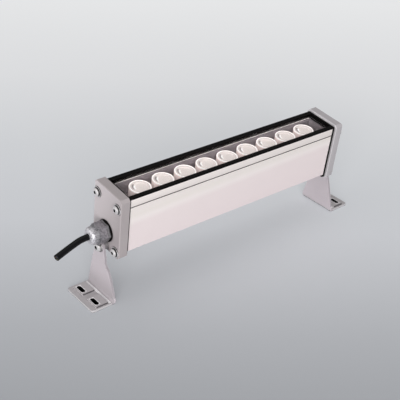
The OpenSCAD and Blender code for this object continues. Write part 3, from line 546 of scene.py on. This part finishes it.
# Light board and emitters
# An aluminium-core board with white mask on the shelf, one yellow emitter under each lens,
# four screws between the cups, and a red pair of strands up from the driver.
board_white = coated("white board mask", dark=(228, 227, 222), plain=(232, 231, 226),
                     light=(236, 235, 230), gloss=(0.3, 0.35, 0.4), grain_size=0.001, relief=0.1)
dress(board_white, "light_board")
phosphor = coated("yellow emitter", dark=(234, 198, 80), plain=(240, 208, 92), light=(246, 216, 110),
                  gloss=(0.2, 0.25, 0.3), grain_size=0.0004, relief=0.1)
dress(phosphor, "emitters")
red_skin = coated("red strand insulation", dark=(180, 32, 30), plain=(190, 38, 34), light=(200, 46, 40),
                  gloss=(0.4, 0.45, 0.5), grain_size=0.0004, relief=0.2)
dress(red_skin, "board_lead")


# Driver
# Sealed in the lower chamber: a green board in a black trough, with coils, capacitors, chips
# and a terminal block, to which the cable's three cores run.
trough_black = coated("black trough", dark=(34, 34, 36), plain=(40, 40, 42), light=(46, 46, 48),
                      gloss=(0.45, 0.5, 0.6), grain_size=0.0006, relief=0.3)
dress(trough_black, "driver_trough", "driver_chips")
mask_green = coated("green board mask", dark=(22, 84, 48), plain=(28, 96, 56), light=(36, 110, 64),
                    gloss=(0.3, 0.35, 0.4), grain_size=0.001, relief=0.1)
dress(mask_green, "driver_board")
copper_wire = coated("enamelled copper", dark=(170, 90, 50), plain=(186, 104, 60), light=(204, 122, 74),
                     gloss=(0.28, 0.32, 0.4), grain_size=0.0004, relief=0.5, metallic=0.9)
dress(copper_wire, "driver_coils")
sleeve = coated("capacitor sleeve", dark=(34, 38, 76), plain=(38, 44, 84), light=(44, 52, 94),
                gloss=(0.3, 0.35, 0.42), grain_size=0.0008, relief=0.1)
dress(sleeve, "driver_capacitors")
terminal_green = coated("green terminal block", dark=(52, 114, 76), plain=(58, 122, 82),
                        light=(66, 132, 90), gloss=(0.4, 0.45, 0.5), grain_size=0.0006, relief=0.2)
dress(terminal_green, "terminal_block")
brown_skin = coated("core insulation", dark=(96, 60, 38), plain=(104, 66, 42), light=(114, 74, 48),
                    gloss=(0.4, 0.45, 0.5), grain_size=0.0005, relief=0.2)
dress(brown_skin, "inner_cores")
dress(cable_black, "inner_cord")


# End caps
# Die-cast aluminium with a satin grey coat, each held over its gasket by four screws. The coat's
# fine grain shows, and their outer faces are painted lighter towards the top and the back, a painted
# light.
cast_grey = coated("satin grey coat", dark=(174, 165, 166), plain=(178, 170, 171),
                   light=(182, 174, 175), gloss=(0.4, 0.45, 0.52), grain_size=0.0006, relief=0.35)
tree, shader = opened(cast_grey)
cap_joint, cap_face = [corner.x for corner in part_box("end_cap_right")]
back_share = 1.79
darkest_from, lightest_from = 0.030, 0.160
flush = 0.00005
at = use(tree, places, middle=pivot.y)
rise = reckoned(tree, "MULTIPLY_ADD", at["Back"], back_share, at["Up"])
# painted light: the outer faces are painted lighter towards the top and the back
painted_light_fade = stepped(tree, spanned(tree, rise, darkest_from, lightest_from), [
    (0.07, (174, 165, 167)), (0.28, (188, 180, 181)), (0.71, (207, 198, 200)), (1.0, (214, 206, 208))])
blended(shader, painted_light_fade, zone(tree, (at["Out"], cap_face - flush, cap_face + flush)))

# painted light: the far cap is painted lighter, and a painted highlight runs along its edge towards the
# gasket
cap_margin = 0.0015
shine_w = 0.0008
far_cap = (at["Right"], cap_joint - cap_margin, cap_face + cap_margin)
far_edge = (at["Right"], cap_joint - shine_w, cap_joint + shine_w)
blended(shader, colour(190, 185, 188), zone(tree, far_cap))
blended(shader, colour(220, 216, 219), zone(tree, far_edge))
# painted shade in the creases round the washers and the gland
paint_crease_shade(shader, reach=0.006, shut=0.2, clear=0.95, dark=(0.04, 0.035, 0.04, 1))
soften(0.0005, "end_cap_left", "end_cap_right")
dress(cast_grey, "end_cap_left", "end_cap_right")


# Brackets
# Pressed 3 mm steel plate, bent once, with two raised slotted pads on each foot. They have the
# caps' grey coat, and each turns about its own pivot screw.
plate_grey = coated("grey plate coat", dark=(203, 194, 199), plain=(207, 198, 203),
                    light=(211, 202, 207), gloss=(0.38, 0.42, 0.5), grain_size=0.0006, relief=0.3)
tree, shader = opened(plate_grey)
at = use(tree, places, middle=pivot.y)
out, up = at["Out"], at["Up"]
plate_in, foot_end = [corner.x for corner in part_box("bracket_right")]
plate_t = 0.003
plate_out = plate_in + plate_t
pad_rise = 0.0014
pad_top = plate_t + pad_rise
bend_reach = 0.0021
foot_reach = 0.0027
bend_highlight_reach = 0.0052
broken_edge = 0.0003
beyond = 0.001

# painted shade: the foot is greyer than the plate and painted darker still on top, and the plate is
# painted darker down to the bend
foot = (out, plate_out + foot_reach, foot_end + beyond)
blended(shader, colour(204, 201, 203), zone(tree, foot, (up, -beyond, plate_t)))
blended(shader, colour(189, 184, 186), zone(tree, foot, (up, plate_t - broken_edge, pad_top + beyond)))
plate_low, plate_high = 0.004, 0.034
low_shade = stepped(tree, spanned(tree, up, plate_low, plate_high, "SMOOTHSTEP"), [
    (0.0, (179, 172, 176)), (1.0, (207, 198, 203))])
blended(shader, low_shade, zone(tree, (out, plate_out - broken_edge, plate_out + bend_reach)))
# painted shade in the bend, round the pads and in the slots
paint_crease_shade(shader, reach=0.0016, shut=0.38, clear=0.8, dark=(0.05, 0.045, 0.05, 1))

# a painted highlight on a bright strip where the bend runs out, and painted shade on the dark front edges
# of the pads and on the grey narrow sides
hair = 0.0001
bend_highlight_half = 0.0245
bend_highlight = (out, plate_out + bend_reach + hair, plate_out + bend_highlight_reach)
bend_highlight_spans = [bend_highlight, (at["Aside"], -bend_highlight_half, bend_highlight_half), (up, plate_t - hair, pad_top + broken_edge)]
blended(shader, colour(255, 254, 255), zone(tree, *bend_highlight_spans))
pad_start, pad_end = 0.1770, 0.1922
front_half = 0.0006
for pad_front in (-0.0243, 0.0037):
    front = (at["Back"], pad_front - front_half, pad_front + front_half)
    blended(shader, colour(84, 80, 83),
            zone(tree, front, (out, pad_start, pad_end), (up, plate_t + hair, pad_top + hair)))
side_low, side_high = 0.007, 0.069
narrow_side = (out, plate_in + broken_edge, plate_out - broken_edge)
blended(shader, colour(174, 167, 172), zone(tree, narrow_side, (up, side_low, side_high)))

# a painted highlight on the rims round the slots, and painted shade on the slots' walls, which are near
# black
rim_w = 0.0007
rim_depth = 0.0003
wall_margin = 0.0002
blended(shader, colour(240, 236, 238),
        zone(tree, *slot_spans(at, rim_w), (up, pad_top - rim_depth, pad_top + beyond)))
blended(shader, colour(14, 13, 13),
        zone(tree, *slot_spans(at, wall_margin), (up, -beyond, pad_top - wall_margin)))
soften(0.0005, "bracket_left", "bracket_right")
dress(plate_grey, "bracket_left", "bracket_right")


# Screws and washers
# Plain stainless button-head screws with six-sided sockets, on split washers and flat washers.
# A turned collar keeps each bracket off its cap.
stainless = coated("stainless steel", dark=(236, 233, 233), plain=(242, 239, 239),
                   light=(248, 245, 245), gloss=(0.44, 0.5, 0.56), grain_size=0.0004, relief=0.12,
                   metallic=0.75)
# painted shade in the sockets and under the heads
paint_crease_shade(opened(stainless)[1], reach=0.0045, shut=0.62, clear=0.88)
screws = [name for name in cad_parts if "screw" in name or "washer" in name]
soften(0.00012, *screws)
dress(stainless, *screws)
turned_metal = coated("turned collar", dark=(144, 141, 143), plain=(150, 147, 149),
                      light=(158, 155, 157), gloss=(0.3, 0.35, 0.4), grain_size=0.0005, relief=0.1,
                      metallic=0.6)
dress(turned_metal, "pivot_collar_left", "pivot_collar_right")


# Cable gland
# Dull nickel-plated brass: a six-sided base on a black ring, and a dome nut that squeezes a
# rubber grommet round the cable.
nickel = coated("dull nickel plate", dark=(134, 130, 135), plain=(150, 146, 151),
                light=(164, 160, 165), gloss=(0.3, 0.36, 0.46), grain_size=0.0014, relief=0.7,
                metallic=0.4)
tree, shader = opened(nickel)

# painted light: the dome is painted lighter towards its tip
gland_tip = -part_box("gland_dome_nut")[0].x
dome_len = 0.010
out = use(tree, places, middle=pivot.y)["Out"]
painted_light_fade = stepped(tree, spanned(tree, out, gland_tip - dome_len, gland_tip), [
    (0.0, (150, 148, 152)), (0.35, (166, 164, 168)), (0.65, (196, 194, 198)), (0.85, (236, 234, 238))])
blended(shader, painted_light_fade, zone(tree, (out, gland_tip - dome_len, gland_tip + dome_len)))

# painted glints: bright and dull spots at random over the plate
spot = put(tree, "ShaderNodeTexCoord").outputs["Object"]
spots = put(tree, "ShaderNodeTexNoise", vector=spot, scale=520.0, detail=3.0).outputs["Fac"]
painted_glint_spots = stepped(tree, spanned(tree, spots, 0.38, 0.62), [
    (0.0, (196, 195, 197)), (0.5, (232, 231, 233)), (0.8, (255, 255, 255))])
blended(shader, painted_glint_spots, how="MULTIPLY")
# painted shade in the creases of the nut and locknut
paint_crease_shade(shader, reach=0.004, shut=0.3, clear=0.85)
dress(nickel, "gland_dome_nut", "gland_locknut")

# painted shade: the base has a darker copy of the nickel plate, and shade is painted in its creases
dull = coated("nickel plate with painted shade", dark=(112, 110, 113), plain=(122, 120, 123), light=(132, 130, 133),
              gloss=(0.36, 0.42, 0.48), grain_size=0.0005, relief=0.2, metallic=0.4)
paint_crease_shade(opened(dull)[1], reach=0.004, shut=0.3, clear=0.85)
dress(dull, "gland_base")
soften(0.0003, "gland_base", "gland_dome_nut")
